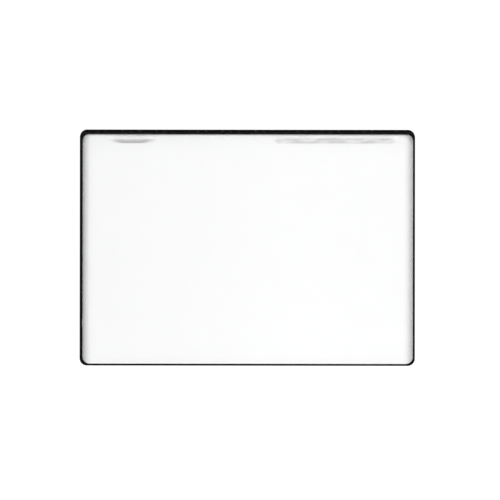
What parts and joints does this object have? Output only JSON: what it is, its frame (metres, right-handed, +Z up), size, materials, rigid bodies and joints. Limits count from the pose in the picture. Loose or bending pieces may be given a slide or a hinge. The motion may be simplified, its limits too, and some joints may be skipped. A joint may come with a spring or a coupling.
{
  "type": "negative carrier",
  "caption": "Hinged double-glass negative carrier: slim black frames hold two panes that clamp sheet film flat in an enlarger.",
  "frame": {"origin": "centre of the closed carrier's outline, on the lower leaf's outer face", "axes": "+X to the right along the hinge, +Y to the rear where the hinge is, +Z up through the closed leaves"},
  "size_m": [0.2016, 0.142, 0.0066],
  "materials": {
    "frame_lacquer": "satin black lacquer on pressed steel",
    "hinge_lacquer": "satin black, worn on the knuckles",
    "clear_glass": "polished plate glass",
    "etched_glass": "faintly etched on the film side",
    "gasket_rubber": "matt",
    "spring_steel": "drawn, bright",
    "shim_brass": "rolled foil",
    "stop_film": "frosted, matt"
  },
  "bodies": {
    "lower_leaf": {"lower_frame": "frame_lacquer", "lower_glass": "clear_glass", "lower_gasket": "gasket_rubber", "lower_retaining_wires": "spring_steel", "hinge_leaf_lower": "hinge_lacquer", "hinge_pin": "spring_steel", "hinge_rivets_lower": "hinge_lacquer", "hinge_end_left": "hinge_lacquer", "hinge_end_right": "hinge_lacquer", "register_tab_left": "spring_steel", "register_tab_right": "spring_steel", "spacer_shim_left": "shim_brass", "spacer_shim_right": "shim_brass", "film_stop_short": "stop_film", "film_stop_long": "stop_film"},
    "upper_leaf": {"upper_frame": "frame_lacquer", "upper_glass": "etched_glass", "upper_gasket": "gasket_rubber", "upper_retaining_wires": "spring_steel", "hinge_leaf_upper": "hinge_lacquer", "hinge_rivets_upper": "hinge_lacquer"}
  },
  "joints": [
    {"name": "leaf_hinge", "type": "hinge", "parent": "lower_leaf", "child": "upper_leaf", "pos_m": [0, 0.0702, 0.0033], "axis": [-1, 0, 0], "range_deg": [0, 180]}
  ]
}
